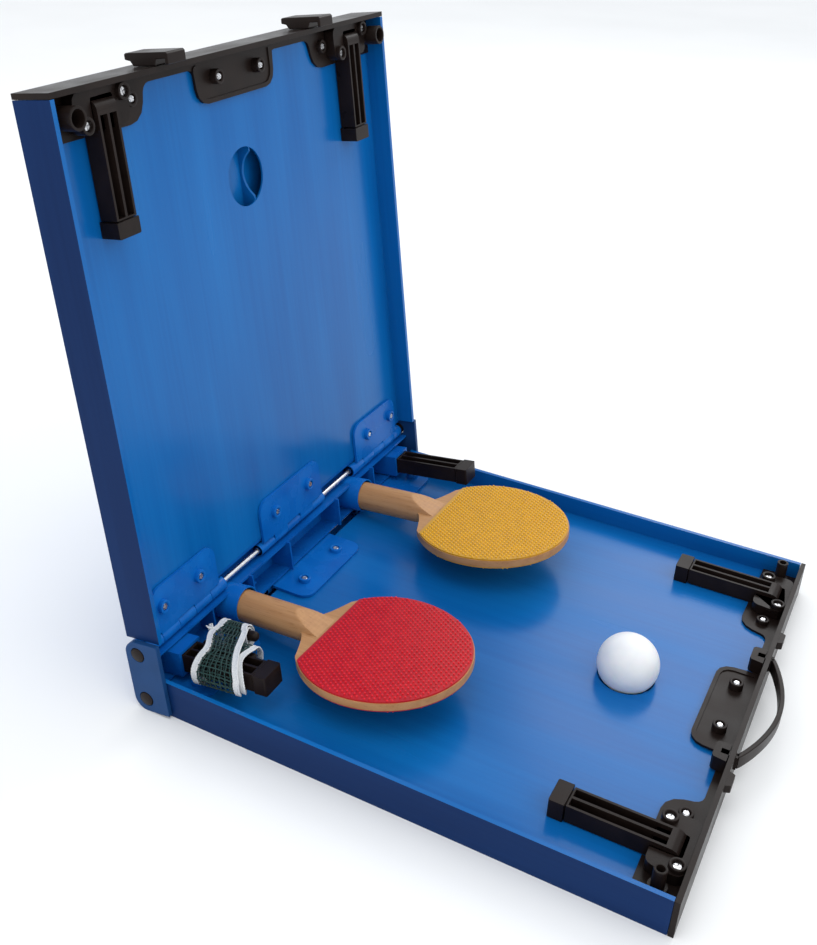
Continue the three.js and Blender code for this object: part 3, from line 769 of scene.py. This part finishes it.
# ---------------------------------------------------------------- net
# Centre line of the rolled net across the spine's frame, as (y, z): from the sleeve on the low
# post, round the leg twice, to the sleeve on the other post.
NET_ROUTE = (
    (45.6, 21.6), (46.2, 27), (43.4, 32.0), (37.6, 33.4), (30, 33.7), (20, 33.4), (14, 30),
    (12.4, 25), (14.5, 19.4), (22, 17.4), (38, 18.6), (54, 19.0), (60.2, 21.4), (61.4, 26.4),
    (59.6, 31.0), (54.5, 33.0), (46, 34.2), (32, 35.6), (19, 35), (11.6, 31), (9.9, 25),
    (12.2, 18.8), (20, 15.8), (38, 17.0), (55, 17.6), (62.2, 20.4), (63.4, 26), (62.2, 31),
    (58.2, 33.9), (53.2, 33.4), (50.9, 30), (51.4, 25),
)
NET_LOW = 37           # edges of the net along the leg, on the near side
NET_HIGH = 73
NET_LOW_FAR = 27.5     # and on the far side, where it is drawn back to the shorter post
NET_HIGH_FAR = 48
INNER_HIGH = 77.4      # near edge of the inner turn, close to the leg's foot
SLEEVE_HIGH = 66       # edge of the sleeve on the low post
TAPE_W = 4.4
CELL = 4.6


def eased(value, low, high):
    t = max(0.0, min(1.0, (value - low) / (high - low)))
    return t * t * (3 - 2 * t)


def net_edges(share, p):
    """Where the net's two edges lie along the leg at a share of the route's length."""
    far = eased(p.y, 24, 46)
    low = NET_LOW + (NET_LOW_FAR - NET_LOW) * far
    slope = max(0.0, min(1.0, (p.y - 11) / 47)) ** 0.85
    near_high = NET_HIGH + (INNER_HIGH - NET_HIGH) * (1 - eased(share, 0.42, 0.56))
    high = near_high + (NET_HIGH_FAR - near_high) * slope
    sleeve = 1 - eased(share, 0.06, 0.14)
    return low, high + (SLEEVE_HIGH - high) * sleeve


def net():
    route = smooth_path([Vector((0, y, z)) for y, z in NET_ROUTE], 0.9)
    along = Vector((1, 0, 0))
    edges = [net_edges(i / len(route), p) for i, p in enumerate(route)]
    inset = TAPE_W - 0.6
    bm = bmesh.new()
    count = 7
    for k in range(count):
        share = (k + 0.5) / count
        path = []
        for i, p in enumerate(route):
            low, high = edges[i]
            x = low + inset + (high - low - 2 * inset) * share
            ripple = 0.35 * math.sin(i * 0.55 + 1.7 * k) + 0.3 * math.sin(i * 0.17 + k)
            path.append(p + along * (x + ripple))
        sweep(bm, path, round_section(0.40), along)
    travelled = 0.0
    due = 1.0
    for i in range(1, len(route)):
        a, b = route[i - 1], route[i]
        step = (b - a).length
        low, high = edges[i]
        travelled += step
        if travelled < due:
            continue
        due += CELL
        tangent = (b - a).normalized()
        out = tangent.cross(along)
        sway = random.uniform(-0.6, 0.6)
        path = []
        for j in range(25):
            t = j / 24
            x = low + inset + (high - low - 2 * inset) * t
            wave = 0.3 * math.sin(t * count * 2 * math.pi)
            path.append(b + along * x + out * wave + tangent * (sway * math.sin(math.pi * t) + 0.3 * wave))
        sweep(bm, path, round_section(0.40), tangent)
    mesh_piece = finished(
        "net_mesh", bm, SPINE, YARN, "net_set", ("net_roll",), 60,
    )
    tapes = [
        net_tape(route, along, [low for low, high in edges], "low"),
        net_tape(route, along, [high - TAPE_W for low, high in edges], "high"),
    ]
    ties = net_ties()


def net_tape(route, along, starts, tag):
    """Folded binding tape with a stitched channel and slightly scalloped edges."""
    bm = bmesh.new()
    rows = []
    for i, p in enumerate(route):
        ahead = route[min(i + 1, len(route) - 1)] - route[max(i - 1, 0)]
        out = ahead.cross(along).normalized()
        stitch = 0.12 * math.sin(i * 0.9 * 2 * math.pi / 1.9)
        w = TAPE_W / 2
        section = [
            (-w - stitch, -0.2), (-w - stitch, 0.25), (-w + 0.5, 0.6 + stitch), (-w + 1.1, 0.35),
            (0, 0.5), (w - 1.1, 0.35), (w - 0.5, 0.6 - stitch), (w + stitch, 0.25), (w + stitch, -0.2),
            (w - 0.6, -0.5), (-w + 0.6, -0.5),
        ]
        wander = 0.25 * math.sin(i * 0.11)
        rows.append([p + along * (starts[i] + w + u + wander) + out * v for u, v in section])
    points = [p for row in rows for p in row]
    add_faces(bm, points, tube_faces(len(rows), len(rows[0])))
    return finished(f"net_tape_{tag}", bm, SPINE, TAPE, "net_set", (), 50)


def net_ties():
    """Ragged cord ends at the back corner of the roll and at the end of the outer sleeve."""
    bm = bmesh.new()
    starts = (
        (Vector((29, 46, 35.0)), 8, (-1.0, 0.2, 0.4)),
        (Vector((48, 50.6, 27)), 5, (0.9, -0.1, 0.4)),
    )
    for origin, count, lean in starts:
        for k in range(count):
            heading = Vector(lean) + Vector((random.uniform(-0.7, 0.7) for _ in range(3)))
            heading.normalize()
            reach = random.uniform(2.2, 4.6)
            bend = Vector((random.uniform(-1, 1), random.uniform(-1, 1), random.uniform(-0.2, 0.8)))
            path = [origin + heading * (reach * t / 6) + bend * (t / 6) ** 2 for t in range(7)]
            side = heading.orthogonal().normalized()
            sweep(bm, path, round_section(0.42, 6, 0.7), side)
    return finished("net_cord_ends", bm, SPINE, TAPE, "net_set", (), 50)


def net_posts():
    for tag, y, z, x0, x1 in (("a", 38.9, 26.2, 26, 66), ("b", 56.6, 28, 26, 56)):
        bm = bmesh.new()
        radius = 3.4
        profile = [(0, x0), (radius - 0.3, x0), (radius, x0 + 0.3), (radius, x1 - radius)]
        for k in range(1, 17):
            a = math.pi / 2 * k / 16
            profile.append((radius * math.cos(a), x1 - radius + radius * math.sin(a)))
        profile[-1] = (0, x1)
        lathe(bm, profile, (0, y, z), (1, 0, 0), 40)
        node = f"net_post_{tag}"
        finished(node + "_rod", bm, SPINE, BLACK, "net_set", (node,), 60)


# ---------------------------------------------------------------- stage, light and camera
def stage():
    floor_z = cad_box[0][2]
    mesh = bpy.data.meshes.new("floor")
    half = 6.0
    mesh.from_pydata(
        [(-half, -half, floor_z), (half, -half, floor_z), (half, half, floor_z), (-half, half, floor_z)],
        [], [(0, 1, 2, 3)],
    )
    mat, tree, shader = blank("floor_paper", 0.9)
    connect(tree, mixed(tree, noise(tree, 3), (0.93, 0.93, 0.93), (0.96, 0.96, 0.96)), shader, "Base Color")
    mesh.materials.append(mat)
    floor = bpy.data.objects.new("floor", mesh)
    bpy.context.scene.collection.objects.link(floor)


def area_light(name, place, target, size, power):
    data = bpy.data.lights.new(name, "AREA")
    data.shape = "DISK"
    data.size = size
    data.energy = power
    lamp = bpy.data.objects.new(name, data)
    lamp.location = place
    lamp.rotation_euler = (Vector(target) - Vector(place)).to_track_quat("-Z", "Y").to_euler()
    bpy.context.scene.collection.objects.link(lamp)


def light():
    world = bpy.data.worlds.new("studio")
    world.use_nodes = True
    background = world.node_tree.nodes["Background"]
    background.inputs["Color"].default_value = (0.94, 0.97, 1.0, 1)
    background.inputs["Strength"].default_value = 1.0
    bpy.context.scene.world = world
    bpy.context.scene.view_settings.view_transform = "Standard"
    middle = (0, 0, 0.1)
    area_light("key", (0.1, -0.5, 1.9), middle, 1.0, 5)
    area_light("side", (1.7, 0.2, 1.3), middle, 1.2, 3)
    area_light("window", (0.02, 1.75, 1.45), (0.1, 0, 0), 1.1, 10)


# The camera stands at the photograph's viewing angle, from a fit to the edges of the two halves.
EYE = Vector((0.19941, -0.58438, 0.49498))
HEADING = 28.02 * RAD
PITCH = 28.375 * RAD
ROLL = 1.816 * RAD
LENS = 42.952          # for a sensor 36 mm wide
SHIFT = (0.04094, -0.04567)


def camera():
    ahead = Vector((
        -math.sin(HEADING) * math.cos(PITCH), math.cos(HEADING) * math.cos(PITCH), -math.sin(PITCH),
    ))
    right = Vector((math.cos(HEADING), math.sin(HEADING), 0))
    up = right.cross(ahead)
    turned_right = right * math.cos(ROLL) + up * math.sin(ROLL)
    turned_up = up * math.cos(ROLL) - right * math.sin(ROLL)
    data = bpy.data.cameras.new("camera")
    data.lens = LENS
    data.sensor_width = 36
    data.shift_x, data.shift_y = SHIFT
    eye = bpy.data.objects.new("camera", data)
    eye.matrix_world = axes(turned_right, turned_up, -ahead, EYE)
    bpy.context.scene.collection.objects.link(eye)
    bpy.context.scene.camera = eye


camera()
stage()
light()
halves()
handle_strap()
latches()
spine()
paddles()
ball()
net()
net_posts()
